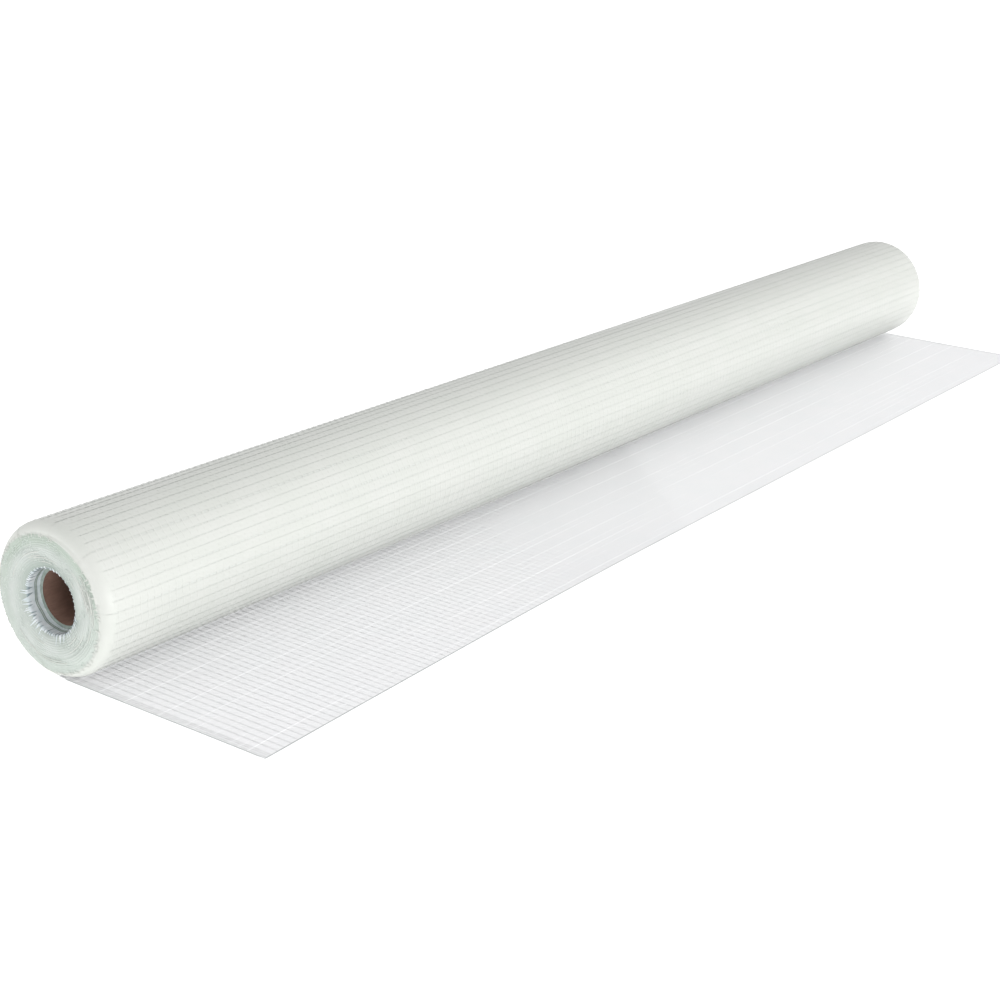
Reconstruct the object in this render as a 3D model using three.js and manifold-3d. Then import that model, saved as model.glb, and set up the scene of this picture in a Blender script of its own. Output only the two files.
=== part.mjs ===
// A roll of glass-fibre mesh wound on a cardboard core, lying on its side with the loose
// tail of the web drawn out flat in front of it.
// Millimetres, +Z up. X runs along the roll, the tail lies towards -Y and Z = 0 is the floor.
// The origin is the middle of the base of the part's box.

import * as THREE from "three";
import { mergeVertices } from "three/addons/utils/BufferGeometryUtils.js";
import Module from "manifold-3d";

// The web: one continuous strip of mesh, wound up apart from its tail
const webWidth = 1000;
const webThickness = 0.5;
const rollDiameter = 85;

// The turns end flush within a ring of ridges, and the outermost ones draw back into a shoulder
const shoulderRadius = 6;
const shoulderSteps = 5;
const endRidges = 9;
const ridgeDepth = 0.8;

// The tail is cut square for most of the width and runs out longer towards the -X end
const tailReach = 132.5;
const tailRunOut = 9;
const runOutLength = 350;
const runOutSteps = 12;

// The core is a plain tube, shorter than the web at both ends
const coreOuterDiameter = 35;
const coreWall = 2;
const coreRecess = 9;
const coreClearance = 0.3;

// Flats around every turned surface
const facets = 72;

const rollRadius = rollDiameter / 2;
const boreRadius = coreOuterDiameter / 2 + coreClearance;
const tailTip = tailReach + tailRunOut;
const rollAxisY = (tailTip - rollRadius) / 2;

const wasm = await Module();
wasm.setup();

// Turns a closed profile of [radius, x] points about the X axis, raised to the roll's axis
function turned(profile) {
  const points = [...profile, profile[0]].map(([radius, x]) => new THREE.Vector2(radius, x));
  const geometry = new THREE.LatheGeometry(points, facets);
  geometry.rotateZ(-Math.PI / 2);
  geometry.translate(0, rollAxisY, rollRadius);
  return geometry;
}

// A three.js geometry as a closed solid, with the vertices that touch made one
function solidOf(geometry) {
  const bare = geometry.clone();
  bare.deleteAttribute("normal");
  bare.deleteAttribute("uv");
  const merged = mergeVertices(bare, 1e-4);
  const triVerts = Uint32Array.from(merged.index.array);
  const vertProperties = Float32Array.from(merged.attributes.position.array);
  return new wasm.Manifold(new wasm.Mesh({ numProp: 3, vertProperties, triVerts }));
}

// A solid back as a three.js geometry with flat faces
function geometryOf(solid) {
  const mesh = solid.getMesh();
  const indexed = new THREE.BufferGeometry();
  indexed.setAttribute("position", new THREE.BufferAttribute(Float32Array.from(mesh.vertProperties), 3));
  indexed.setIndex(new THREE.BufferAttribute(Uint32Array.from(mesh.triVerts), 1));
  const flat = indexed.toNonIndexed();
  flat.computeVertexNormals();
  return flat;
}

// One end of the wound web as [radius, inset from the end] points, from the bore outwards:
// a ridge for each band of turns, then a quarter round where the outer turns draw back
function endFace() {
  const faceRadius = rollRadius - shoulderRadius;
  const pitch = (faceRadius - boreRadius) / endRidges;
  const points = [[boreRadius, 0]];
  for (let ridge = 0; ridge < endRidges; ridge++) {
    points.push([boreRadius + (ridge + 0.5) * pitch, ridgeDepth]);
    points.push([boreRadius + (ridge + 1) * pitch, 0]);
  }
  for (let step = 1; step <= shoulderSteps; step++) {
    const angle = (step / shoulderSteps) * (Math.PI / 2);
    points.push([faceRadius + shoulderRadius * Math.sin(angle), shoulderRadius * (1 - Math.cos(angle))]);
  }
  return points;
}

// The wound turns: a thick tube with the same end at -X and +X
function woundTurns() {
  const end = endFace();
  const half = webWidth / 2;
  const nearEnd = end.map(([radius, inset]) => [radius, inset - half]);
  const farEnd = end.map(([radius, inset]) => [radius, half - inset]).reverse();
  return turned([...nearEnd, ...farEnd]);
}

// The tail: a flat sheet from under the roll's axis to its cut edge, whose last stretch
// towards -X runs out along a parabola
function looseTail() {
  const half = webWidth / 2;
  const outline = new THREE.Shape();
  outline.moveTo(-half, 0);
  outline.lineTo(-half, -tailTip);
  for (let step = 1; step <= runOutSteps; step++) {
    const along = step / runOutSteps;
    outline.lineTo(-half + along * runOutLength, -tailReach - tailRunOut * (1 - along) ** 2);
  }
  outline.lineTo(half, -tailReach);
  outline.lineTo(half, 0);
  outline.closePath();
  const geometry = new THREE.ExtrudeGeometry(outline, { depth: webThickness, bevelEnabled: false });
  geometry.translate(0, rollAxisY, 0);
  return geometry;
}

// The core tube, held inside the turns with its ends set back from theirs
function coreTube() {
  const outer = coreOuterDiameter / 2;
  const inner = outer - coreWall;
  const half = webWidth / 2 - coreRecess;
  return turned([
    [inner, -half],
    [outer, -half],
    [outer, half],
    [inner, half],
  ]);
}

function piece(name, geometry, colour, roughness) {
  const material = new THREE.MeshStandardMaterial({ color: colour, roughness, metalness: 0 });
  const mesh = new THREE.Mesh(geometry, material);
  mesh.name = name;
  return mesh;
}

const web = solidOf(woundTurns()).add(solidOf(looseTail()));

const roll = new THREE.Group();
roll.add(piece("mesh_web", geometryOf(web), 0xe9eeea, 0.45));
roll.add(piece("core_tube", coreTube(), 0x7a5644, 0.9));

export default roll;
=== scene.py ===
"""A roll of leno-woven glass mesh on a cardboard core, its loose tail lying flat in front."""

import logging
import math
from collections.abc import Callable
from dataclasses import dataclass, field
from enum import Enum
from functools import partial

import bpy
import numpy as np
from mathutils import Matrix, Vector


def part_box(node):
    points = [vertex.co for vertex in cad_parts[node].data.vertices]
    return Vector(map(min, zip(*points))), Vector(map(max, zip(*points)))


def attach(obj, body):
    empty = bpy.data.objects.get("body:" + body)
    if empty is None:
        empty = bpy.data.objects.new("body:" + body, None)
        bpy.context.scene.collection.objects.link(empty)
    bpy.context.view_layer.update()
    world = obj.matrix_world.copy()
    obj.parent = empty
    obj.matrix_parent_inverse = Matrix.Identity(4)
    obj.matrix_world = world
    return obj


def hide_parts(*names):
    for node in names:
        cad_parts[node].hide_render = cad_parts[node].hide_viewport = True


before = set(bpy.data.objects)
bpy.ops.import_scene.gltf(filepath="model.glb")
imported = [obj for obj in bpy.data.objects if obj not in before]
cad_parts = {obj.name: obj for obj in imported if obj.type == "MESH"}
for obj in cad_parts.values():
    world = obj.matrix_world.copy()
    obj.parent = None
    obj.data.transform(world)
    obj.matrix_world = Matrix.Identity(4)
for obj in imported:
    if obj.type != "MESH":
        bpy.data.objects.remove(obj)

log = logging.getLogger("mesh_roll")
MM = 0.001
TURN = 2 * math.pi
SEED = 20
Source = bpy.types.Node | bpy.types.NodeSocket
Adder = Callable[..., bpy.types.Node]


# Finishes


def linear(code: str) -> tuple[float, float, float, float]:
    """Turns an sRGB hex code into the linear colour that a shader takes.

    Args:
        code: six hex digits, such as "e6e9e4".

    Returns:
        Linear red, green and blue, and an alpha of 1.
    """
    parts = [int(code[i:i + 2], 16) / 255 for i in (0, 2, 4)]
    red, green, blue = (c / 12.92 if c <= 0.04045 else ((c + 0.055) / 1.055) ** 2.4 for c in parts)
    return red, green, blue, 1.0


def add_node(
    tree: bpy.types.NodeTree, kind: str, settings: dict | None = None, links: dict | None = None
) -> bpy.types.Node:
    """Adds a node with its settings and its incoming links.

    Args:
        tree: the node tree that gets the node.
        kind: the node's type, without "ShaderNode" before it.
        settings: values by name; a name in lower case is the node's own option, set first,
            and any other name, or a number, is an input.
        links: output sockets, or nodes that stand for their first one, by the input each feeds.

    Returns:
        The new node.
    """
    node = tree.nodes.new("ShaderNode" + kind)
    options = {k: v for k, v in (settings or {}).items() if isinstance(k, str) and k.islower()}
    for key, value in options.items():
        setattr(node, key, value)
    for key, value in (settings or {}).items():
        if key not in options:
            node.inputs[key].default_value = value
    for key, source in (links or {}).items():
        socket = source.outputs[0] if isinstance(source, bpy.types.Node) else source
        tree.links.new(socket, node.inputs[key])
    return node


def new_material(name: str) -> tuple[bpy.types.Material, Adder]:
    """Makes an empty node material.

    Args:
        name: the material's name.

    Returns:
        The material with no nodes, and `add_node` for its tree.
    """
    material = bpy.data.materials.new(name)
    material.use_nodes = True
    material.node_tree.nodes.clear()
    return material, partial(add_node, material.node_tree)


def finish_with(add: Adder, settings: dict, links: dict) -> None:
    """Ends a material's tree in one Principled shader.

    Args:
        add: `add_node` for the material's tree.
        settings: the shader's constant inputs.
        links: what feeds its other inputs.
    """
    shader = add("BsdfPrincipled", settings, links)
    add("OutputMaterial", links={"Surface": shader})


@dataclass(frozen=True)
class CoatedGlassYarn:
    """Glass yarn dipped in an alkali-proof acrylic coat: hard, milky and half glossy.

    The coat fills the bundle, so a yarn reads as one smooth pale strand with a narrow highlight
    along it, and only faint lines of its filaments.
    """

    name: str
    pale: str
    deep: str
    roughness: float = 0.48
    ior: float = 1.5
    coat_weight: float = 0.45
    subsurface: float = 0.0
    patch_mm: float = 26.0  # length over which the coat's thickness drifts
    filament_mm: float = 0.32  # real filaments are 0.015 mm, drawn coarser so that they show

    def build(self) -> bpy.types.Material:
        """Makes the material, with its colour from Object and its filaments from the Yarn map."""
        material, add = new_material(self.name)
        place = add("TexCoord")
        patches = add(
            "TexNoise",
            {"Scale": 1 / (self.patch_mm * MM), "Detail": 3.0, "Roughness": 0.6},
            {"Vector": place.outputs["Object"]},
        )
        tone = add("MapRange", {"From Min": 0.35, "From Max": 0.65}, {"Value": patches})
        colour = add(
            "Mix", {"data_type": "RGBA", 6: linear(self.deep), 7: linear(self.pale)}, {0: tone}
        )
        along = add("UVMap", {"uv_map": "Yarn"})
        stretched = add("Mapping", {"Scale": (0.06, 1.0, 1.0)}, {"Vector": along})
        filaments = add(
            "TexNoise",
            {"Scale": 1 / (self.filament_mm * MM), "Detail": 1.0},
            {"Vector": stretched},
        )
        relief = add("Bump", {"Strength": 0.35, "Distance": 0.05 * MM}, {"Height": filaments})
        finish_with(
            add,
            {"Roughness": self.roughness, "IOR": self.ior, "Coat Weight": self.coat_weight,
             "Coat Roughness": 0.28, "Subsurface Weight": self.subsurface,
             "Subsurface Radius": (1.0, 1.0, 1.0), "Subsurface Scale": 2 * MM},
            {"Base Color": colour.outputs[2], "Normal": relief},
        )
        return material


@dataclass(frozen=True)
class LayeredMesh:
    """Many turns of the same mesh seen through each other: milky, ribbed and faintly green.

    The yarns of the turns below show between those above at drifting offsets, so the ground is
    nearly as pale as the yarn, with thin darker creases where the openings line up, which are
    painted shade. On the ends the cut edges of the turns are greener, because the light there
    comes through the glass.
    """

    name: str = "Coated leno-woven glass mesh in turns"
    pale: str = "dbded9"
    # painted shade: the darker colour of the creases between the ribs
    crease: str = "d6dad5"
    edge_pale: str = "d1d7d3"
    edge_deep: str = "c5cdc7"
    # painted shade: the dark blue-grey laid down the bore
    bore_shade: str = "9fafb4"
    # painted shade: a darker ring round the bore, stronger on the upper half of the face
    bore_ring_shade: str = "9eaba3"
    # greener ring by the rim: partly the glass's tint, partly painted shade on the upper half
    rim_green_shade: str = "becabf"
    bore_mm: float = 17.8
    axis: tuple[float, float, float] = (0.0, 0.0, 0.0)
    weft_mm: float = 5.6
    warp_mm: float = 5.0
    fibre_mm: float = 0.9  # tufts of cut weft ends on the face of the roll
    roughness: float = 0.5

    def ribs(
        self, add: Adder, place: Source, drift: Source, pitch_mm: float, phase: float
    ) -> bpy.types.Node:
        """Adds a smooth rib that repeats every pitch and wanders with the drift.

        Args:
            add: `add_node` for the material's tree.
            place: a distance in metres across the ribs.
            drift: a noise from 0 to 1, which moves the ribs by up to two pitches.
            pitch_mm: the ribs' spacing.
            phase: the share of a pitch by which this set starts later.

        Returns:
            0 in a crease to 1 on a rib: half of one plus the cosine of the place's turns.
        """
        scaled = {1: TURN / (pitch_mm * MM), 2: TURN * phase}
        turns = add("Math", {"operation": "MULTIPLY_ADD", **scaled}, {0: place})
        moved = add("Math", {"operation": "MULTIPLY_ADD", 1: 4 * math.pi}, {0: drift, 2: turns})
        wave = add("Math", {"operation": "COSINE"}, {0: moved})
        return add("Math", {"operation": "MULTIPLY_ADD", 1: 0.5, 2: 0.5}, {0: wave})

    def paint_ring_shade(self, add: Adder, place: Source, colour: bpy.types.Node) -> bpy.types.Node:
        """Paints shade on the face by the distance from the axis, and more of it on its upper
        half.

        Args:
            add: `add_node` for the material's tree.
            place: the Object coordinates.
            colour: the node whose third output is the face's colour between the two.

        Returns:
            A node whose third output is the shaded colour.
        """
        offset = add("VectorMath", {"operation": "SUBTRACT", 1: self.axis}, {0: place})
        flat = add("VectorMath", {"operation": "MULTIPLY", 1: (0.0, 1.0, 1.0)}, {0: offset})
        radius = add("VectorMath", {"operation": "LENGTH"}, {0: flat}).outputs["Value"]
        height = add("SeparateXYZ", links={0: offset})
        # both rings weigh more towards the top of the face: painted shade, darker towards the top
        upper = add(
            "MapRange",
            {"From Min": -20 * MM, "From Max": 25 * MM, "To Min": 0.25, "To Max": 1.0},
            {"Value": height.outputs[2]},
        )
        # the ring by the bore is painted shade; the ring by the rim is the glass's green and shade
        for shade, start, end in (
            (self.bore_ring_shade, self.bore_mm + 8, self.bore_mm + 1),
            (self.rim_green_shade, self.bore_mm + 10.5, self.bore_mm + 15),
        ):
            share = add(
                "MapRange", {"From Min": start * MM, "From Max": end * MM}, {"Value": radius}
            )
            both = add("Math", {"operation": "MULTIPLY"}, {0: share, 1: upper})
            colour = add(
                "Mix", {"data_type": "RGBA", 7: linear(shade)}, {0: both, 6: colour.outputs[2]}
            )
        return colour

    def build(self) -> bpy.types.Material:
        """Makes the material from the Turns map, in metres, and the Edge attribute."""
        material, add = new_material(self.name)
        spread = add("UVMap", {"uv_map": "Turns"})
        parts = add("SeparateXYZ", links={0: spread})
        round_it, along = parts.outputs[0], parts.outputs[1]
        edge = add("Attribute", {"attribute_name": "Edge"}).outputs["Fac"]
        place = add("TexCoord").outputs["Object"]
        drift = add("TexNoise", {"Scale": 7.0, "Detail": 1.0}, {"Vector": place})
        height = None
        for pitch, source, phase in (
            (self.weft_mm, round_it, 0.0), (self.weft_mm, round_it, 0.37),
            (self.warp_mm, along, 0.2), (self.warp_mm, along, 0.71),
        ):
            rib = self.ribs(add, source, drift, pitch, phase)
            height = rib if height is None else add(
                "Math", {"operation": "MAXIMUM"}, {0: height, 1: rib}
            )
        depth = add("MapRange", {"From Min": 0.45, "From Max": 0.95}, {"Value": height})
        # between the ribs the colour goes to the darker crease colour, as painted shade
        side = add(
            "Mix", {"data_type": "RGBA", 6: linear(self.crease), 7: linear(self.pale)}, {0: depth}
        )
        tufts = add(
            "TexNoise",
            {"Scale": 1 / (self.fibre_mm * MM), "Detail": 3.0, "Roughness": 0.65},
            {"Vector": place},
        )
        broad = add("TexNoise", {"Scale": 110.0, "Detail": 2.0}, {"Vector": place})
        ringed = add("Mapping", {"Scale": (14.0, 700.0, 1.0)}, {"Vector": spread})
        rings = add("TexNoise", {"Scale": 1.0, "Detail": 2.0}, {"Vector": ringed})
        mottle = add("Math", {"operation": "MULTIPLY_ADD", 1: 0.5}, {0: rings, 2: broad})
        tone = add("MapRange", {"From Min": 0.5, "From Max": 1.0}, {"Value": mottle})
        middle = add(
            "Mix",
            {"data_type": "RGBA", 6: linear(self.edge_deep), 7: linear(self.edge_pale)},
            {0: tone},
        )
        face = self.paint_ring_shade(add, place, middle)
        on_end = add(
            "Mix", {"data_type": "RGBA"}, {0: edge, 6: side.outputs[2], 7: face.outputs[2]}
        )
        # down the bore, where Edge passes 1, the colour goes to the painted shade of the bore
        bore_shade_share = add("Math", {"operation": "SUBTRACT", "use_clamp": True, 1: 1.0}, {0: edge})
        colour = add(
            "Mix", {"data_type": "RGBA", 7: linear(self.bore_shade)},
            {0: bore_shade_share, 6: on_end.outputs[2]},
        )
        relief = add("Mix", {"data_type": "FLOAT"}, {0: edge, 2: depth, 3: tufts})
        bump = add("Bump", {"Strength": 0.3, "Distance": 0.2 * MM}, {"Height": relief})
        finish_with(
            add, {"Roughness": self.roughness, "IOR": 1.5},
            {"Base Color": colour.outputs[2], "Normal": bump},
        )
        return material


@dataclass(frozen=True)
class WoundCardboard:
    """Core board of brown kraft plies wound in a spiral and glued: dull and faintly fibrous."""

    name: str = "Spirally wound kraft cardboard"
    pale: str = "97786a"
    deep: str = "6b5145"
    ply_mm: float = 62.0  # width of the paper strip
    fibre_mm: float = 1.4

    def build(self) -> bpy.types.Material:
        """Makes the material from Object coordinates and the Ply map."""
        material, add = new_material(self.name)
        place = add("TexCoord").outputs["Object"]
        stretched = add("Mapping", {"Scale": (0.25, 1.0, 1.0)}, {"Vector": place})
        fibres = add(
            "TexNoise",
            {"Scale": 1 / (self.fibre_mm * MM), "Detail": 4.0, "Roughness": 0.7},
            {"Vector": stretched},
        )
        strip = add("UVMap", {"uv_map": "Ply"})
        across = add("SeparateXYZ", links={0: strip}).outputs[1]
        turns = add("Math", {"operation": "MULTIPLY", 1: 1 / (self.ply_mm * MM)}, {0: across})
        share = add("Math", {"operation": "FRACT"}, {0: turns})
        seam = add("MapRange", {"From Min": 0.0, "From Max": 0.02}, {"Value": share})
        tone = add("Math", {"operation": "MULTIPLY"}, {0: fibres, 1: seam})
        colour = add(
            "Mix", {"data_type": "RGBA", 6: linear(self.deep), 7: linear(self.pale)}, {0: tone}
        )
        bump = add("Bump", {"Strength": 0.4, "Distance": 0.1 * MM}, {"Height": tone})
        finish_with(add, {"Roughness": 0.85}, {"Base Color": colour.outputs[2], "Normal": bump})
        return material


@dataclass(frozen=True)
class PaintedFloor:
    """A smooth white studio floor, lit from within a little so that it stays white all over."""

    name: str = "Matt white studio floor"
    shade: str = "f0f0f0"
    glow: float = 0.6

    def build(self) -> bpy.types.Material:
        """Makes the floor's material."""
        material, add = new_material(self.name)
        finish_with(
            add,
            {"Base Color": linear(self.shade), "Roughness": 1.0, "Specular IOR Level": 0.0,
             "Emission Color": (1.0, 1.0, 1.0, 1.0), "Emission Strength": self.glow},
            {},
        )
        return material


# Meshes from arrays


def new_object(name: str, data: bpy.types.ID) -> bpy.types.Object:
    """Makes an object of the data and puts it into the scene."""
    made = bpy.data.objects.new(name, data)
    bpy.context.scene.collection.objects.link(made)
    return made


def headings(paths: np.ndarray) -> np.ndarray:
    """Finds the direction in which each path runs on at each of its points."""
    ahead = np.gradient(paths, axis=1)
    return ahead / np.linalg.norm(ahead, axis=2, keepdims=True)


def signed_volume(points: np.ndarray, quads: np.ndarray) -> float:
    """Sums the volumes of the tetrahedra from the origin to each quad's two triangles."""
    a, b, c, d = (points[quads[:, i]] for i in range(4))
    return float((a * np.cross(b, c)).sum() + (a * np.cross(c, d)).sum()) / 6


def mesh_piece(
    name: str,
    points: np.ndarray,
    quads: np.ndarray,
    maps: dict[str, np.ndarray],
    material: bpy.types.Material,
    attribute: np.ndarray | None = None,
) -> bpy.types.Object:
    """Makes a closed object of quads, turned outwards and sharp past 60°, that rides on the roll.

    Args:
        name: the piece's name.
        points: vertex places in metres, one row each.
        quads: four vertex numbers a row.
        maps: UV maps by name, as one (u, v) for each corner of each quad.
        material: the piece's finish.
        attribute: a number for each vertex, kept as Edge.

    Returns:
        The new object.
    """
    if signed_volume(points - points.mean(axis=0), quads) < 0:
        quads = quads[:, ::-1]
        maps = {key: value[:, ::-1] for key, value in maps.items()}
    mesh = bpy.data.meshes.new(name)
    mesh.vertices.add(len(points))
    mesh.vertices.foreach_set("co", points.astype(np.float32).ravel())
    mesh.loops.add(quads.size)
    mesh.loops.foreach_set("vertex_index", quads.astype(np.int32).ravel())
    mesh.polygons.add(len(quads))
    mesh.polygons.foreach_set("loop_start", np.arange(0, quads.size, 4, dtype=np.int32))
    mesh.polygons.foreach_set("use_smooth", np.ones(len(quads), bool))
    for key, corners in maps.items():
        layer = mesh.uv_layers.new(name=key)
        layer.uv.foreach_set("vector", corners.astype(np.float32).ravel())
    if attribute is not None:
        kept = mesh.attributes.new("Edge", "FLOAT", "POINT")
        kept.data.foreach_set("value", attribute.astype(np.float32).ravel())
    mesh.materials.append(material)
    mesh.update(calc_edges=True)
    mesh.set_sharp_from_angle(angle=math.radians(60))
    piece = new_object(name, mesh)
    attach(piece, "root")
    log.info("%s: %d quads", name, len(quads))
    return piece


def grid_quads(
    rows: int, columns: int, closed_rows: bool, closed_columns: bool
) -> tuple[np.ndarray, np.ndarray, np.ndarray]:
    """Numbers the quads of a grid of points.

    Args:
        rows: points down the grid.
        columns: points across it.
        closed_rows: whether the last row joins the first.
        closed_columns: whether the last column joins the first.

    Returns:
        The quads' vertex numbers, and each corner's row and column, counted on past a seam.
    """
    i, j = np.meshgrid(
        np.arange(rows if closed_rows else rows - 1),
        np.arange(columns if closed_columns else columns - 1),
        indexing="ij",
    )
    row = np.stack([i, i, i + 1, i + 1], axis=-1).reshape(-1, 4)
    column = np.stack([j, j + 1, j + 1, j], axis=-1).reshape(-1, 4)
    return (row % rows) * columns + column % columns, row, column


def turned_grid(
    x: np.ndarray, radius: np.ndarray, columns: int
) -> tuple[np.ndarray, np.ndarray, np.ndarray, np.ndarray, np.ndarray]:
    """Numbers the quads of a turned ring and spreads its surface flat.

    Args:
        x: how far along the axis each point of the closed section lies.
        radius: how far from the axis each lies.
        columns: how many times the section is repeated round the axis.

    Returns:
        The quads, and for each corner its row, its share of the turn, its distance along the
        section and its place on the flat sheet.
    """
    quads, row, column = grid_quads(len(x), columns, True, True)
    steps = np.hypot(np.diff(np.append(x, x[0])), np.diff(np.append(radius, radius[0])))
    run = np.append(0, np.cumsum(steps))
    u = column / columns
    packed = 0.002 + 0.996 * np.stack([u, run[row] / run[-1]], axis=-1)
    return quads, row, u, run[row], packed


@dataclass
class Strands:
    """Many like yarns as closed flat tubes, each an ellipse carried along a path.

    A point of a tube is the path's point, plus the cosine of the angle round the tube times the
    half width along the side direction, plus its sine times the half thickness along the out
    direction. The tubes taper to a blunt end over the first and last stretch.
    """

    paths: np.ndarray
    side: np.ndarray
    out: np.ndarray
    half_width: float | np.ndarray
    half_thickness: float | np.ndarray
    sides: int = 4

    def arrays(self) -> tuple[np.ndarray, np.ndarray, np.ndarray, np.ndarray]:
        """Works out the tubes.

        Returns:
            The points, the quads, and for each corner its place on the yarn in metres and its
            place on a sheet where each yarn has a strip of its own.
        """
        count, steps, _ = self.paths.shape
        turn = TURN * np.arange(self.sides) / self.sides
        wide = np.broadcast_to(self.half_width, (count, steps))[..., None, None]
        thick = np.broadcast_to(self.half_thickness, (count, steps))[..., None, None]
        rings = (
            self.paths[:, :, None, :]
            + wide * np.cos(turn)[:, None] * self.side[:, :, None, :]
            + thick * np.sin(turn)[:, None] * self.out[:, :, None, :]
        )
        tips = self.paths[:, [0, -1], None, :]
        close = 0.02
        ends = tips + close * (rings[:, [0, -1]] - tips)
        rings = np.concatenate([ends[:, :1], rings, ends[:, 1:]], axis=1)
        rows = steps + 2
        quads, row, column = grid_quads(rows, self.sides, False, True)
        k = self.sides
        caps = np.array([[0, 1, 2, 3]] if k == 4 else [[0, 1, 2, 3], [0, 3, 4, 5]])
        first = caps[:, ::-1]
        last = caps + (rows - 1) * k
        quads = np.concatenate([quads, first, last])
        row = np.concatenate([row, first * 0, last * 0 + rows - 1])
        column = np.concatenate([column, first % k, last % k])
        stride = rows * k
        every = (quads[None] + stride * np.arange(count)[:, None, None]).reshape(-1, 4)
        length = np.concatenate(
            [np.zeros((count, 2)),
             np.cumsum(np.linalg.norm(np.diff(self.paths, axis=1), axis=2), axis=1)], axis=1
        )
        length = np.concatenate([length, length[:, -1:]], axis=1)
        u = length[:, row] + 0.37 * np.arange(count)[:, None, None]
        v = np.broadcast_to(column * (4 * float(np.max(self.half_width)) / k), u.shape)
        yarn = np.stack([u, v], axis=-1).reshape(-1, 4, 2)
        share = length / length[:, -1:]
        strip = (np.arange(count)[:, None, None] + 0.05 + 0.9 * column / k) / count
        packed = np.stack([0.005 + 0.99 * share[:, row], strip], axis=-1).reshape(-1, 4, 2)
        return rings.reshape(-1, 3), every, yarn, packed


def yarn_piece(name: str, sets: list[Strands], material: bpy.types.Material) -> bpy.types.Object:
    """Makes sets of yarns of the web into one piece.

    Args:
        name: the piece's name.
        sets: the yarns, of which each set gets an equal share of the flat sheet.
        material: the yarns' finish, which may read the Yarn map in metres.

    Returns:
        The new object.
    """
    points, quads, yarns, sheets = [], [], [], []
    for number, strands in enumerate(sets):
        place, every, yarn, packed = strands.arrays()
        quads.append(every + sum(len(part) for part in points))
        points.append(place)
        yarns.append(yarn)
        sheets.append((packed + [0, number]) / [1, len(sets)])
    maps = {"OFBake": np.concatenate(sheets), "Yarn": np.concatenate(yarns)}
    return mesh_piece(
        name, np.concatenate(points), np.concatenate(quads), maps, material
    )


# The roll


class Side(Enum):
    """The two ends of the roll."""

    NEAR = -1
    FAR = 1


@dataclass(frozen=True)
class RollSizes:
    """The sizes that every piece of the roll shares, in metres."""

    half_width: float
    radius: float
    axis_y: float
    bore: float
    core_radius: float
    core_half: float
    tail_reach: float = 132.5 * MM
    tail_run_out: float = 9 * MM
    run_out_length: float = 350 * MM
    shoulder: float = 6 * MM
    weft_pitch: float = 5.6 * MM
    warp_pitch: float = 5.0 * MM
    turn_drop: float = 0.7 * MM
    half_mesh: float = 0.1 * MM
    swell: float = 1.6 * MM
    lip: float = 0.8 * MM
    core_wall: float = 2 * MM

    @property
    def face_end(self) -> float:
        """The radius at which the flat of the face ends and the shoulder starts."""
        return self.radius - 2 * self.half_mesh - self.shoulder

    def rim(self, angle: np.ndarray) -> np.ndarray:
        """Where the green of the face ends: inside the shoulder at the upper front, on it below.

        Args:
            angle: the angle round the axis, from straight below towards the rear.

        Returns:
            The place on the end, as `on_end` takes it: a middle less a share of the cosine of
            the angle from the upper front.
        """
        return self.face_end + 1.6 * MM + 3.0 * MM * np.cos(angle - np.pi / 4)

    def on_end(self, reach: np.ndarray) -> tuple[np.ndarray, np.ndarray, np.ndarray]:
        """Finds a place on the end of the roll, which swells a little and has a round shoulder.

        Args:
            reach: the radius on the face, and beyond it the arc length down the shoulder too.

        Returns:
            The inset from the end, the radius, and the surface's turn from the face's plane.
        """
        turn = np.clip((reach - self.face_end) / self.shoulder, 0, np.pi / 2)
        share = np.clip((reach - self.bore) / (self.face_end - self.bore), 0, 1)
        inset = self.shoulder * (1 - np.cos(turn)) - self.swell * np.sin(np.pi * share) ** 0.8
        return inset, np.minimum(reach, self.face_end) + self.shoulder * np.sin(turn), turn

    def around(
        self, x: np.ndarray, radius: np.ndarray, turn: np.ndarray
    ) -> tuple[np.ndarray, np.ndarray]:
        """Places points round the axis, each at its x, radius and angle.

        Args:
            x: how far along the roll.
            radius: how far from its axis.
            turn: the angle round the axis, from straight below towards the rear.

        Returns:
            The points, and the direction straight away from the axis at each.
        """
        x, radius, turn = np.broadcast_arrays(x, radius, turn)
        out = np.stack([0 * turn, np.sin(turn), -np.cos(turn)], axis=-1)
        points = np.array([0.0, self.axis_y, self.radius]) + radius[..., None] * out
        points[..., 0] = x
        return points, out

    @classmethod
    def from_frame(cls) -> "RollSizes":
        """Reads the outer sizes off the solids.

        Returns:
            The sizes, with the radius from the web's height and the axis that far from its
            rear side.
        """
        low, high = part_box("mesh_web")
        core_low, core_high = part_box("core_tube")
        radius = float(high[2] - low[2]) / 2
        core = float(core_high[2] - core_low[2]) / 2
        return cls(
            half_width=float(high[0] - low[0]) / 2,
            radius=radius,
            axis_y=float(high[1]) - radius,
            bore=core + 0.3 * MM,
            core_radius=core,
            core_half=float(core_high[0] - core_low[0]) / 2,
        )


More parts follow.
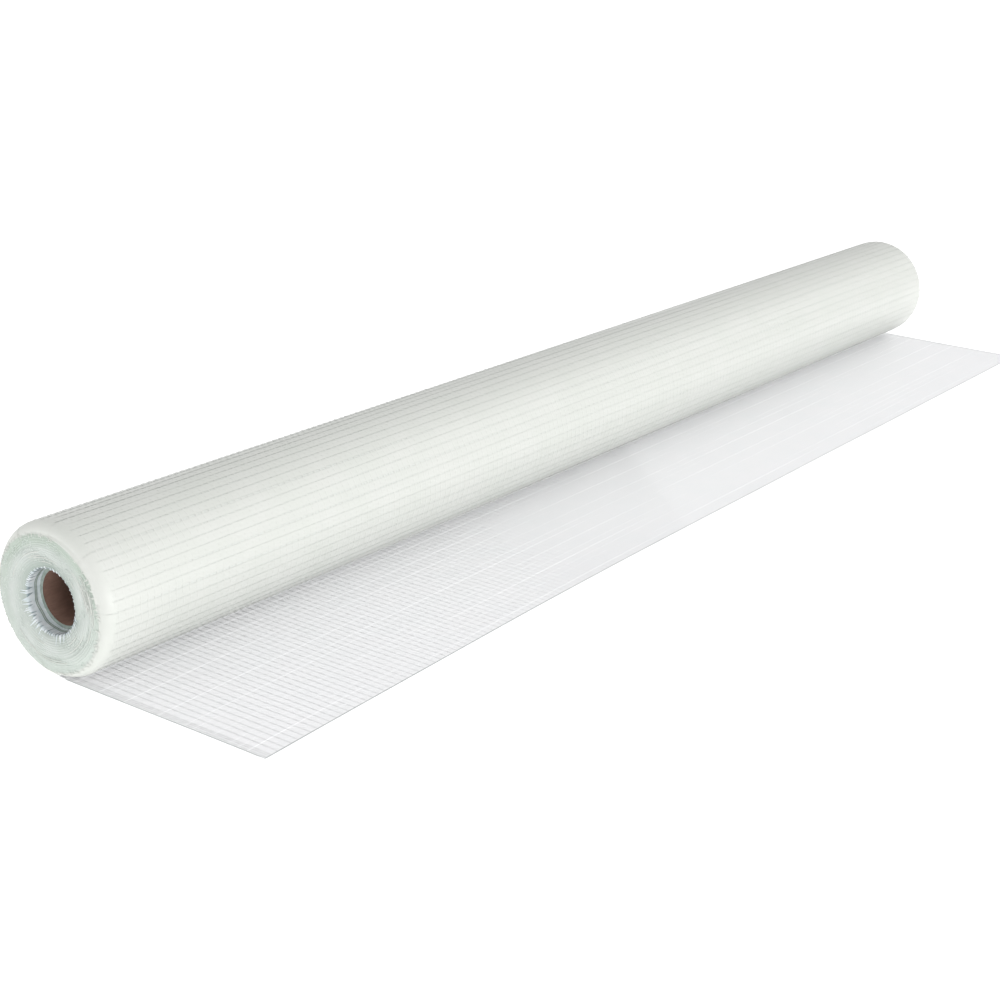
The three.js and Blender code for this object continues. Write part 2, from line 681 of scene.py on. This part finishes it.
@dataclass(frozen=True)
class WebPath:
    """Where the middle of the web runs: flat along the floor, then round the roll.

    The distance along the web is counted from the line on which it leaves the roll. Below
    nought it lies on the floor and grows towards the cut edge, stretched near the first end so
    that the cut runs out longer there. Above nought it goes up the rear, over the top and down
    the front at a radius that falls evenly by one web thickness a turn, and on the last
    millimetres at both ends the web also bends down a quarter round, and on over the face.
    """

    sizes: RollSizes
    clear: float = 0.35 * MM  # of the lumps of the face
    wave: float = 0.16 * MM  # how far the tail lifts off the floor

    @property
    def radius(self) -> float:
        """The radius at which the outer turn starts."""
        return self.sizes.radius - self.sizes.half_mesh

    def stretch(self, x: np.ndarray) -> np.ndarray:
        """How much longer the tail lies at x than its square cut: a parabola from the run-out."""
        s = self.sizes
        share = np.clip(1 - (x + s.half_width) / s.run_out_length, 0, 1)
        return 1 + s.tail_run_out / s.tail_reach * share**1.4

    def place(
        self, distance: np.ndarray, x: np.ndarray, lift: np.ndarray
    ) -> tuple[np.ndarray, np.ndarray, np.ndarray]:
        """Puts points of the web in the roll's frame.

        Args:
            distance: how far along the web, negative on the tail.
            x: how far across it.
            lift: how far above its middle, on the side that faces out of the roll.

        Returns:
            The points, the direction along the web and the direction out of it.
        """
        s = self.sizes
        distance, x, lift = np.broadcast_arrays(distance, x, lift)
        angle = np.clip(distance, 0, None) / self.radius
        flat = distance <= 0
        straight = s.half_width - s.shoulder
        bend = np.where(flat, 0, np.clip((np.abs(x) - straight) / s.shoulder, 0, np.pi / 2))
        past = np.where(flat, 0, np.clip(np.abs(x) - straight - s.shoulder * np.pi / 2, 0, None))
        drop = s.turn_drop * angle / TURN + s.shoulder * (1 - np.cos(bend)) + past
        reach = self.radius - drop + lift * np.cos(bend)
        swell = s.swell * np.sin(np.pi * past / (s.face_end - s.bore)) ** 0.8
        swell = swell + self.clear * np.clip(past / MM, 0, 1)
        place = np.sign(x) * (straight + (s.shoulder + lift) * np.sin(bend) + swell)
        x = np.where(bend > 0, place, x)
        slack = np.clip(-distance / s.tail_reach, 0, 1)
        wave = self.wave * slack * (
            1 + np.sin(x * 23 + distance * 31) * np.sin(x * 9.1 - distance * 17 + 1)
        )
        y = np.where(flat, s.axis_y + distance * self.stretch(x),
                     s.axis_y + reach * np.sin(angle))
        z = np.where(flat, s.half_mesh - lift + wave,
                     s.radius - reach * np.cos(angle))
        along = np.stack([0 * y, np.cos(angle), np.sin(angle)], axis=-1)
        out = np.stack([
            np.sign(x) * np.sin(bend), np.cos(bend) * np.sin(angle), -np.cos(bend) * np.cos(angle)
        ], axis=-1)
        return np.stack([x, y, z], axis=-1), along, out


@dataclass
class LenoWeave:
    """The yarns of the web: flat wefts across it, each held by pairs of twisted warps.

    The two warps of a pair cross between each weft and the next. Their offset sideways is the
    cosine of half a turn per weft. One warp passes over every weft and the other under it, but
    on the floor both pass over, as one below would block the light that comes up through it.
    """

    path: WebPath
    yarn: bpy.types.Material
    weft_half_width: float = 2.38 * MM
    flat_weft_half_width: float = 2.79 * MM  # on the floor nothing squeezes the wefts together
    weft_half_thickness: float = 0.07 * MM
    warp_half_width: float = 0.5 * MM
    warp_half_thickness: float = 0.06 * MM
    flat_half_thickness: float = 0.04 * MM  # of both yarns on the floor
    flat_warp_half_width: float = 0.13 * MM
    twist: float = 0.42 * MM
    selvedge_gap: float = 1.8 * MM
    selvedge_warps: int = 2
    first_x: float = -497 * MM
    last_x: float = 499.5 * MM
    last_warp: float = 492.5 * MM
    fan: float = 0.52  # half width of a weft on the shoulder, as a share of the pitch
    ragged: float = 0.9 * MM  # how unevenly the wefts end on the roll
    flat_ragged: float = 0.2 * MM
    bow: float = 0.36 * MM  # how far a weft wanders along the web
    flat_bow: float = 0.06 * MM

    def warp_lines(self) -> np.ndarray:
        """Lists the x of each warp pair: close together in the selvedges and evenly between."""
        pitch = self.path.sizes.warp_pitch
        extra = self.selvedge_gap * (0.7 + np.arange(self.selvedge_warps))
        inner_first = self.first_x + self.selvedge_gap * self.selvedge_warps + 0.2 * pitch
        inner_last = self.last_x - self.selvedge_gap * self.selvedge_warps - 0.2 * pitch
        count = int((inner_last - inner_first) / pitch) + 1
        inner = np.linspace(inner_first, inner_last, count)
        return np.concatenate([self.first_x + extra, inner, (self.last_x - extra)[::-1]])

    def wefts(self, numbers: np.ndarray, steps: int = 64) -> Strands:
        """Lays the wefts with the given numbers, counted along the web from where it leaves.

        On the roll they reach round the shoulders to the rim of the face, fanned out.

        Args:
            numbers: the wefts' numbers, negative on the tail.
            steps: points along the straight of each, to which more come near the ends.

        Returns:
            The wefts.
        """
        rng = np.random.default_rng(SEED + len(numbers))
        sizes = self.path.sizes
        pitch = sizes.weft_pitch
        straight = sizes.half_width - sizes.shoulder
        over = rng.uniform(0.0, 1.0, (len(numbers), 2))
        on_floor = numbers[0] < 0
        if on_floor:
            first = self.first_x - self.flat_ragged * over[:, :1]
            last = self.last_x + self.flat_ragged * over[:, 1:]
        else:
            angle = (numbers[:, None] + 0.5) * pitch / self.path.radius
            reach = straight + sizes.shoulder * np.pi / 2 + sizes.face_end - sizes.rim(angle)
            first = -reach + self.ragged * over[:, :1]
            last = reach - self.ragged * over[:, 1:]
        share = np.linspace(0, 1, 15)[:-1]
        x = np.concatenate([
            first - (first + straight) * share,
            np.linspace(-straight, straight, steps) + 0 * first,
            last - (last - straight) * share[::-1],
        ], axis=1)
        bow = (self.flat_bow if on_floor else self.bow) * np.sin(
            x * rng.uniform(7, 16, (len(numbers), 1)) + rng.uniform(0, 6.3, (len(numbers), 1))
        )
        distance = (numbers[:, None] + 0.5) * pitch + bow
        points, along, out = self.path.place(distance, x, np.zeros_like(x))
        if on_floor:
            wide = self.flat_weft_half_width * self.path.stretch(x)
            return Strands(points, along, out, wide, self.flat_half_thickness, sides=6)
        free = np.clip((np.abs(x) - self.last_warp) / (4 * MM), 0, 1)
        wide = self.weft_half_width * (1 - free) + self.fan * pitch * free
        centre = np.array([sizes.axis_y, sizes.radius])
        wide = wide * np.linalg.norm(points[..., 1:] - centre, axis=2) / self.path.radius
        return Strands(points, along, out, wide, self.weft_half_thickness, sides=6)

    def warps(
        self, lines: np.ndarray, numbers: np.ndarray, start: float | None = None
    ) -> Strands:
        """Lays the warp pairs on the given lines over the given wefts.

        Args:
            lines: the x of each pair.
            numbers: the wefts that they hold, in order.
            start: the distance at which the warps are cut, if not half a cell before the wefts.

        Returns:
            The warps.
        """
        pitch = self.path.sizes.weft_pitch
        cells = np.arange(numbers[0], numbers[-1] + 1.01, 0.5)
        distance = cells * pitch
        if start is not None:
            distance[0] = start
        swing = np.cos(np.pi * (cells - 0.5))
        on_floor = numbers[0] < 0
        if on_floor:
            wide, thick = self.flat_warp_half_width, self.flat_half_thickness
            low, over, twist = thick, 2.4 * thick, 0.5 * self.twist
        else:
            wide, thick = self.warp_half_width, self.warp_half_thickness
            low, over, twist = 0.5 * thick, self.weft_half_thickness + thick, self.twist
        sign = np.array([1.0, -1.0])[:, None]
        jitter = 0.12 * MM * np.sin(lines[:, None, None] * 900 + distance * 60)
        x = lines[:, None, None] + sign * swing * twist + jitter
        above = np.abs(sign) if on_floor else sign
        lift = above * (low + (over - low) * np.abs(swing)) + 0 * x
        x = x.reshape(-1, len(cells))
        lift = lift.reshape(-1, len(cells))
        points, along, out = self.path.place(np.broadcast_to(distance, x.shape), x, lift)
        side = np.broadcast_to([1.0, 0.0, 0.0], points.shape)
        return Strands(points, side, out, wide, thick)


@dataclass
class OuterTurn:
    """The outermost turn of the web on the roll."""

    weave: LenoWeave

    def build(self) -> None:
        """Makes the turn's wefts, and its warps as a near and a far half."""
        weave = self.weave
        girth = TURN * weave.path.radius
        numbers = np.arange(int(girth / weave.path.sizes.weft_pitch))
        lines = weave.warp_lines()
        lines = lines[np.abs(lines) < weave.last_warp]
        yarn_piece("outer_turn_wefts", [weave.wefts(numbers)], weave.yarn)
        for end, half in (("near", lines[lines < 0]), ("far", lines[lines >= 0])):
            yarn_piece(f"outer_turn_warps_{end}", [weave.warps(half, numbers)], weave.yarn)


@dataclass
class LooseTail:
    """The end of the web, drawn out flat over the floor and cut across."""

    weave: LenoWeave
    # the tail's yarns are the roll's yarn painted lighter: painted light from below
    yarn: bpy.types.Material
    lit_warp_yarn: bpy.types.Material
    # grey yarn laid along the tail's edges as painted shade
    edge_shade_yarn: bpy.types.Material
    edge: float = 0.36 * MM

    def build(self) -> None:
        """Makes the tail, its warps and the grey line of painted shade along its edges."""
        weave = self.weave
        sizes = weave.path.sizes
        numbers = np.arange(-round(sizes.tail_reach / sizes.weft_pitch), 0)
        cut = (numbers[0] + 0.5) * sizes.weft_pitch - weave.flat_weft_half_width
        tail = yarn_piece("loose_tail", [weave.wefts(numbers)], self.yarn)
        warps = yarn_piece(
            "loose_tail_warps", [weave.warps(weave.warp_lines(), numbers, cut)], self.lit_warp_yarn
        )
        self.edge_shade_line(-cut)

    def edge_shade_line(self, reach: float) -> bpy.types.Object:
        """Makes the grey line along the tail's three free sides, laid there as painted shade.

        Args:
            reach: how far the tail is cut from where it leaves the roll.

        Returns:
            The line, a thin strand down one side, along the cut and up the other side.
        """
        weave = self.weave
        down = -np.linspace(0, reach, 25)[1:]
        across = np.linspace(weave.first_x, weave.last_x, 120)
        inset = 0.5 * self.edge
        distance = np.concatenate([down, np.full(118, down[-1]), down[::-1]])
        x = np.concatenate([
            np.full(24, across[0] - inset), across[1:-1], np.full(24, across[-1] + inset)
        ])
        points, _, out = weave.path.place(distance[None], x[None], np.zeros((1, len(x))))
        side = np.cross(out, headings(points))
        strand = Strands(points, side, out, self.edge, 0.11 * MM)
        return yarn_piece("tail_edge_shade_line", [strand], self.edge_shade_yarn)


@dataclass
class WoundTurns:
    """The turns under the outer one, as one thick tube with spiral ridges on its ends.

    The section runs up the bore, round the lip, over the end face, which swells a little, down
    the quarter round of the shoulder and along the roll, and back by the other end. The ridges
    lift the face by the cosine of a turn per pitch of radius less the turn round the axis, so
    that each follows a spiral, as the turns do.
    """

    sizes: RollSizes
    material: bpy.types.Material
    columns: int = 288
    face_rows: int = 74
    ridge_pitch: float = 1.25 * MM  # the turns are 0.5 mm apart, drawn coarser so that they show
    ridge: float = 0.12 * MM
    lump: float = 0.35 * MM

    def section(self) -> tuple[np.ndarray, np.ndarray, np.ndarray]:
        """Works out one end of the section, from the middle of the bore to that of the roll.

        Returns:
            The inset from the end, the radius, and the place on the end as `on_end` takes it,
            which is less than the bore's radius down the bore and grows on along the side.
        """
        s = self.sizes
        down = np.linspace(s.half_width, s.lip, 12)
        lip_turn = np.linspace(0, np.pi / 2, 7)[1:]
        reach = np.concatenate([
            np.linspace(s.bore + s.lip, s.face_end, self.face_rows)[1:],
            s.face_end + s.shoulder * np.linspace(0, np.pi / 2, 14)[1:],
        ])
        end_inset, end_radius, _ = s.on_end(reach)
        side = np.linspace(s.shoulder, s.half_width, 26)[1:-1]
        inset = np.concatenate([down, s.lip * (1 - np.sin(lip_turn)), end_inset, side])
        radius = np.concatenate([
            np.full(12, s.bore), s.bore + s.lip * (1 - np.cos(lip_turn)), end_radius,
            np.full(24, end_radius[-1]),
        ])
        place = np.concatenate([
            s.bore - down, np.linspace(s.bore, s.bore + s.lip, 7)[1:], reach,
            reach[-1] + side - s.shoulder,
        ])
        return inset, radius, place

    def shade(self, place: np.ndarray, angle: np.ndarray) -> np.ndarray:
        """Says how the surface looks: 0 on the side, 1 on the face and 2 down the bore,
        where the material paints shade.

        Args:
            place: places on the end, as from `section`.
            angle: angles round the axis.

        Returns:
            The shade, which falls over half a millimetre at the rim of the face.
        """
        s = self.sizes
        face = np.clip((s.rim(angle)[None] - place[:, None]) / (0.5 * MM), 0, 1)
        # over the lip and down the bore the value rises to 2, which the material paints as shade
        bore = np.clip((s.bore + s.lip - place) / s.lip, 0, 1) ** 0.7
        return face + bore[:, None]

    def build(self) -> None:
        """Makes the tube, which stands for the web's solid."""
        s = self.sizes
        inset, radius, place = self.section()
        x = np.concatenate([inset - s.half_width, (s.half_width - inset)[::-1]])
        radius = np.concatenate([radius, radius[::-1]])
        place = np.concatenate([place, place[::-1]])
        angle = TURN * np.arange(self.columns) / self.columns
        edge = self.shade(place, angle)
        grown = (radius - s.bore)[:, None] / (s.radius - s.bore)
        on_face = np.clip((place - s.bore - s.lip) / MM, 0, 1)
        on_face *= np.clip((s.face_end - place) / MM, 0, 1)
        ridge = self.ridge * np.cos(
            TURN * (radius[:, None] / self.ridge_pitch) - angle[None]
        )
        lumps = self.lump * (
            np.sin(3 * angle + 1)[None] * np.sin(5 * grown + 1)
            + 0.7 * np.sin(7 * angle + 11 * grown)
        )
        push = on_face[:, None] * (ridge + lumps)
        spiral = s.turn_drop * angle[None] / TURN * (grown > 0.5)
        reach = radius[:, None] - spiral
        points, _ = s.around(x[:, None] + np.sign(x)[:, None] * push, reach, angle)
        quads, row, u, run, packed = turned_grid(x, radius, self.columns)
        turns = np.stack([u * TURN * s.radius, run], axis=-1)
        piece = mesh_piece(
            "wound_turns", points.reshape(-1, 3), quads, {"OFBake": packed, "Turns": turns},
            self.material, edge,
        )
        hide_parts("mesh_web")


@dataclass
class EndTufts:
    """The cut weft ends at one end of the roll, which lie about on its face and over its rim.

    A tuft starts on the surface and lies along it in a direction of its own, rising by the sine
    of half a turn over its length.
    """

    sizes: RollSizes
    side: Side
    face_yarn: bpy.types.Material
    rim_yarn: bpy.types.Material
    on_face: int = 900
    on_rim: int = 210
    arcs: int = 22
    grouped: int = 7  # of the arcs lie together at the upper front
    group_turn: float = 3.7
    group_gap: float = 0.8 * MM

    def lay(
        self, name: str, start: np.ndarray, angle: np.ndarray, turn: np.ndarray,
        length: np.ndarray, half_width: float, material: bpy.types.Material,
    ) -> None:
        """Lays tufts on the end.

        Args:
            name: the piece's name, to which the end is added.
            start: the place of each root, as `on_end` takes it.
            angle: the angle round the axis of each root.
            turn: each tuft's direction, counted from straight outwards.
            length: the tufts' lengths.
            half_width: half their width.
            material: their finish.
        """
        s = self.sizes
        share = np.linspace(0, 1, 4)[None]
        reach = start[:, None] + (length * np.cos(turn))[:, None] * share
        across = (length * np.sin(turn))[:, None] * share
        inset, radius, tilt = s.on_end(reach)
        lift = (0.02 + 0.07 * np.sin(np.pi * share)) * length[:, None]
        x = self.side.value * (s.half_width - inset + lift * np.cos(tilt))
        radius = radius + lift * np.sin(tilt)
        round_it = angle[:, None] + across / radius
        points, up = s.around(x, radius, round_it)
        out = up * np.sin(tilt)[..., None]
        out[..., 0] = self.side.value * np.cos(tilt)
        forward = np.gradient(points, axis=1)
        side = np.cross(out, forward)
        side /= np.linalg.norm(side, axis=2, keepdims=True) + 1e-9
        thin = half_width * (1 - 0.7 * share**2) + 0 * x
        tufts = Strands(points, side, out, thin, 0.25 * thin)
        yarn_piece(f"{name}_{self.side.name.lower()}", [tufts], material)

    def raised_turns(self, rng: np.random.Generator) -> None:
        """Makes the edges of turns that stand a little proud of the face, as glossy arcs.

        Args:
            rng: where the arcs' places and lengths come from.
        """
        s = self.sizes
        count = self.arcs
        share = np.linspace(0, 1, 17)[None]
        radius = rng.uniform(s.bore + 3 * MM, s.face_end - 3 * MM, count)[:, None]
        turn = rng.uniform(0, TURN, count)[:, None]
        number = np.arange(count)[:, None]
        group = s.face_end - 4.0 * MM - self.group_gap * number
        turn = np.where(number < self.grouped, self.group_turn + 0.1 * turn, turn)
        radius = np.where(number < self.grouped, group, radius)
        turn = turn + rng.uniform(0.25, 1.1, count)[:, None] * share
        radius = radius + s.turn_drop * turn / TURN
        inset, _, _ = s.on_end(radius)
        rise = rng.uniform(0.1, 0.28, count)[:, None] * MM * np.sin(np.pi * share) ** 0.5
        x = self.side.value * (s.half_width - inset + rise)
        points, up = s.around(x, radius, turn)
        out = np.broadcast_to([self.side.value, 0.0, 0.0], points.shape)
        arcs = Strands(points, up, out, 0.2 * MM, 0.12 * MM)
        yarn_piece(f"raised_turns_{self.side.name.lower()}", [arcs], self.rim_yarn)

    def build(self) -> None:
        """Makes what stands out of this end: tufts on the face, proud turns, tufts on the rim."""
        s = self.sizes
        rng = np.random.default_rng(SEED + self.side.value)
        angle = rng.uniform(0, TURN, self.on_face)
        inner = s.bore + 3.5 * MM
        start = np.sqrt(rng.uniform(inner**2, (s.rim(angle) - 1.5 * MM) ** 2))
        turn = rng.normal(0, 0.7, self.on_face) + np.pi / 2 * rng.choice([-1, 1], self.on_face)
        self.lay(
            "end_tufts", start, angle, turn, rng.uniform(0.9, 2.4, self.on_face) * MM,
            0.14 * MM, self.face_yarn,
        )
        self.raised_turns(rng)
        angle = rng.uniform(0, TURN, self.on_rim)
        start = s.rim(angle) + rng.uniform(-0.4, 1.2, self.on_rim) * MM
        turn = np.pi + rng.normal(0, 0.3, self.on_rim)
        self.lay(
            "rim_tufts", start, angle, turn, rng.uniform(0.8, 2.6, self.on_rim) * MM,
            0.3 * MM, self.rim_yarn,
        )


@dataclass
class BoreFringe:
    """The weft ends of the innermost turns, which fan out of the bore over its lip at one end.

    A strand runs out along the bore's wall, held by hoops of warp, then a quarter round over the
    lip and a little way up the face. Past the outermost hoop it narrows evenly to a point.
    """

    sizes: RollSizes
    side: Side
    material: bpy.types.Material
    # darker yarn for the hoops and the collar: painted shade inside the bore
    bore_shade_yarn: bpy.types.Material
    wefts: int = 38
    layers: int = 2
    rings: int = 2
    deep: float = 9 * MM
    held: float = 5.4 * MM  # from the end of the roll to the outermost hoop
    half_width: float = 1.25 * MM

    def strands(self) -> Strands:
        """Lays the frayed weft ends."""
        s = self.sizes
        rng = np.random.default_rng(SEED + 7 + self.side.value)
        count = self.wefts * self.layers
        layer = np.arange(count)[:, None] % self.layers
        angle = np.arange(count) / count + rng.uniform(-0.15, 0.15, count) / self.wefts
        clear = (0.2 + 0.15 * layer) * MM
        bend = s.lip + clear
        past = rng.uniform(1.0, 4.4, count)[:, None] * MM
        past = past * (0.65 + 0.35 * np.cos(TURN * angle))[:, None]  # longest below
        wall = self.deep - s.lip
        run = np.linspace(0, 1, 13)[None] * (wall + bend * np.pi / 2 + past)
        arc = np.clip((run - wall) / bend, 0, np.pi / 2)
        beyond = np.clip(run - wall - bend * np.pi / 2, 0, None)
        inset = self.deep - np.minimum(run, wall) - bend * np.sin(arc) - 0.35 * beyond
        radius = s.bore + s.lip - bend * np.cos(arc) + beyond
        free = np.clip((run - self.deep + self.held) / (run[:, -1:] - self.deep + self.held), 0, 1)
        sway = rng.normal(0, 0.05, count)[:, None] * free**1.5
        turn = TURN * angle[:, None] + sway
        points, _ = s.around(self.side.value * (s.half_width - inset), radius, turn)
        forward = headings(points)
        level = np.stack([0 * turn, np.cos(turn), np.sin(turn)], axis=-1)
        upright = np.cross(level, forward)
        tilt = (rng.normal(0, 0.3, count)[:, None] * free)[..., None]
        side = np.cos(tilt) * level + np.sin(tilt) * upright
        normal = np.cross(side, forward)
        thin = self.half_width * (1 - 0.12 * layer) * (1 - 0.9 * free)
        return Strands(points, side, normal, thin, 0.09 * MM * (1 - 0.7 * free))

    def hoops(self) -> Strands:
        """Lays the warps of the innermost turn that cross the wefts inside the bore."""
        s = self.sizes
        turn = TURN * np.arange(73)[None] / 72
        pairs = self.held + s.warp_pitch * np.arange(self.rings)[:, None]
        inset = (pairs + 0.5 * MM * np.array([-1, 1])).reshape(-1, 1)
        inset = inset + 0.3 * MM * np.sin(turn * 9)
        x = self.side.value * (s.half_width - inset)
        points, out = s.around(x, s.bore - 0.55 * MM, turn)
        side = np.broadcast_to([1.0, 0.0, 0.0], points.shape)
        return Strands(points, side, out, 0.34 * MM, 0.08 * MM)

    def ring(self, radius: float, turn: np.ndarray, half_width: float) -> Strands:
        """Lays a strand flat round the end of the core: a warp of the first turn, or a bright arc
        that is a painted highlight.

        Args:
            radius: how far out its middle lies.
            turn: the angles round the axis from its start to its end.
            half_width: half its width, across the core's wall.

        Returns:
            The one strand.
        """
        s = self.sizes
        inset = self.deep - 0.2 * MM - 0.1 * half_width
        x = self.side.value * (s.half_width - inset)
        points, across = s.around(x, radius, turn[None])
        out = np.broadcast_to([self.side.value, 0.0, 0.0], points.shape)
        return Strands(points, across, out, half_width, 0.12 * MM)

    def build(self) -> None:
        """Makes the fringe and a bright arc on the core's end as a painted highlight, and the
        hoops behind it and the collar round the end of the core, in a yarn darkened as painted
        shade.
        """
        s = self.sizes
        end = self.side.name.lower()
        inner = s.core_radius - s.core_wall
        # the collar on the core's end takes the darker yarn, painted shade at the core's mouth
        collar = self.ring(
            (inner + s.bore) / 2, np.linspace(0, TURN, 73), (s.bore - inner) / 2 + 0.1 * MM
        )
        # a bright arc of fringe yarn along the bottom of the core's end: painted highlight
        highlight_strand = self.ring(inner + 0.2 * MM, np.linspace(-0.5, 1.1, 25), 0.24 * MM)
        yarn_piece(f"bore_fringe_{end}", [self.strands(), highlight_strand], self.material)
        yarn_piece(f"bore_hoops_{end}", [self.hoops(), collar], self.bore_shade_yarn)


@dataclass
class CoreTube:
    """The spirally wound core: a tube whose surfaces step a hair at the seam of the outer ply."""

    sizes: RollSizes
    material: bpy.types.Material
    columns: int = 128
    rows: int = 80
    seam: float = 0.12 * MM
    soft: float = 0.3 * MM  # how far the edges of its ends are eased
    ply: float = 62 * MM

    def build(self) -> None:
        """Makes the tube, whose section goes along the outside, over an end and back inside."""
        s = self.sizes
        outer, inner, half = s.core_radius, s.core_radius - s.core_wall, s.core_half
        soft = self.soft
        along = np.linspace(-half + soft, half - soft, self.rows)
        x = np.concatenate([along, [half], [half], along[::-1], [-half], [-half]])
        radius = np.concatenate([
            np.full(self.rows, outer), [outer - soft], [inner + soft],
            np.full(self.rows, inner), [inner + soft], [outer - soft],
        ])
        outside = radius > (outer + inner) / 2
        angle = TURN * np.arange(self.columns) / self.columns
        helix = (x[:, None] / self.ply + angle[None] / TURN) % 1
        dip = self.seam * np.exp(-((helix - 0.02) / 0.02) ** 2)
        reach = radius[:, None] + np.where(outside, -1, 1)[:, None] * dip
        points, _ = s.around(x[:, None], reach, angle)
        quads, row, u, _, packed = turned_grid(x, radius, self.columns)
        level = np.append(x, x[0])[row] + self.ply * u
        ply = np.stack([u * TURN * outer, level], axis=-1)
        piece = mesh_piece(
            "core_board", points.reshape(-1, 3), quads, {"OFBake": packed, "Ply": ply},
            self.material,
        )
        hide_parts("core_tube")


# The studio


@dataclass
class Studio:
    """A white floor, soft light from the front, high and low, and an even white surround."""

    sizes: RollSizes
    surround: float = 0.8
    key_power: float = 12.0
    fill_power: float = 26.0

    def camera(self) -> None:
        """Makes the camera at the photograph's place, from a fit to the roll's outlines.

        Its forward direction comes from the heading and the dip, and it's then rolled.
        """
        heading, dip, roll = 0.96618, 0.33921, 0.04172
        forward = Vector((
            math.sin(heading) * math.cos(dip), math.cos(heading) * math.cos(dip), -math.sin(dip)
        ))
        level = Vector((math.cos(heading), -math.sin(heading), 0.0))
        upright = level.cross(forward)
        right = level * math.cos(roll) + upright * math.sin(roll)
        up = upright * math.cos(roll) - level * math.sin(roll)
        data = bpy.data.cameras.new("photo_camera")
        data.sensor_width = 36.0
        data.lens = 36.0 * 1.8572
        data.clip_start = 0.05
        camera = new_object("photo_camera", data)
        turn = Matrix((right, up, -forward)).transposed().to_4x4()
        spot = Vector((-1.08654, -0.67996 + self.sizes.axis_y, 0.41412))
        camera.matrix_world = Matrix.Translation(spot) @ turn
        bpy.context.scene.camera = camera

    def floor(self) -> None:
        """Makes the floor, a wide square just under the roll."""
        mesh = bpy.data.meshes.new("studio_floor")
        reach, low = 30.0, -0.15 * MM
        mesh.from_pydata(
            [(-reach, -reach, low), (reach, -reach, low), (reach, reach, low),
             (-reach, reach, low)], [], [(0, 1, 2, 3)]
        )
        mesh.materials.append(PaintedFloor().build())
        new_object("studio_floor", mesh)

    def lamp(
        self, name: str, spot: tuple[float, float, float], power: float,
        width: float, height: float,
    ) -> None:
        """Hangs a soft lamp that faces the middle of the roll.

        Args:
            name: the lamp's name.
            spot: its place in metres.
            power: its power in watts.
            width: its width in metres, along the roll.
            height: its height in metres.
        """
        data = bpy.data.lights.new(name, "AREA")
        data.shape = "RECTANGLE"
        data.energy, data.size, data.size_y = power, width, height
        lamp = new_object(name, data)
        lamp.location = spot
        aim = Vector((0.0, self.sizes.axis_y, self.sizes.radius)) - lamp.location
        lamp.rotation_euler = aim.to_track_quat("-Z", "Y").to_euler()

    def build(self) -> None:
        """Sets the surround, the lamps, the floor and the camera."""
        scene = bpy.context.scene
        scene.view_settings.view_transform = "Standard"
        world = bpy.data.worlds.new("surround")
        world.use_nodes = True
        background = world.node_tree.nodes["Background"]
        background.inputs[0].default_value = (1.0, 1.0, 1.0, 1.0)
        background.inputs[1].default_value = self.surround
        scene.world = world
        self.lamp("softbox_high", (2.6, -2.0, 2.0), self.key_power, 3.4, 1.8)
        self.lamp("softbox_low", (-0.5, -2.6, 0.24), self.fill_power, 3.6, 0.44)
        self.floor()
        self.camera()


@dataclass
class MeshRoll:
    """The whole roll, piece by piece."""

    sizes: RollSizes = field(default_factory=RollSizes.from_frame)

    def build(self) -> None:
        """Builds and dresses every piece."""
        yarn = CoatedGlassYarn("Acrylic-coated glass yarn on the roll", "dadcd7", "d7dad4").build()
        # the roll's yarn painted lighter for the tail: painted light coming up through the layer
        lit_tail_yarn = CoatedGlassYarn(
            "Acrylic-coated glass yarn of the single layer", "e5e5e7", "e3e4e6", subsurface=0.55
        ).build()
        # the tail's warps painted lighter still: painted light for what the wefts get from below
        lit_warp_yarn = CoatedGlassYarn(
            "Acrylic-coated warp yarn of the single layer", "fafafb", "f8f9fa"
        ).build()
        # a grey copy of the yarn for the tail's edges: painted shade along them
        edge_shade_yarn = CoatedGlassYarn(
            "Glass mesh edge sealed by the cutter", "b4b9b8", "a9afae"
        ).build()
        fringe_yarn = CoatedGlassYarn(
            "Frayed glass yarn in the bore", "eff4f7", "d9e3e7", roughness=0.3, coat_weight=0.4,
            patch_mm=3.0,
        ).build()
        # the yarn of the bore's hoops and of the collar, darkened as painted shade
        bore_shade_yarn = CoatedGlassYarn(
            "Glue-soaked glass yarn round the core", "a9b5ad", "8f9c94", patch_mm=3.0
        ).build()
        cut_yarn = CoatedGlassYarn(
            "Cut ends of coated glass yarn", "dfe6e1", "cfd9d2", roughness=0.5
        ).build()
        axis = (0.0, self.sizes.axis_y, self.sizes.radius)
        turns = LayeredMesh(bore_mm=self.sizes.bore / MM, axis=axis).build()
        weave = LenoWeave(WebPath(self.sizes), yarn)
        WoundTurns(self.sizes, turns).build()
        OuterTurn(weave).build()
        LooseTail(weave, lit_tail_yarn, lit_warp_yarn, edge_shade_yarn).build()
        for side in Side:
            EndTufts(self.sizes, side, cut_yarn, yarn).build()
            BoreFringe(self.sizes, side, fringe_yarn, bore_shade_yarn).build()
        CoreTube(self.sizes, WoundCardboard().build()).build()


def main() -> None:
    """Builds the roll and its studio."""
    logging.basicConfig(level=logging.INFO, format="%(name)s: %(message)s")
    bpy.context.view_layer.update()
    MeshRoll().build()
    Studio(RollSizes.from_frame()).build()


if __name__ == "__main__":
    main()
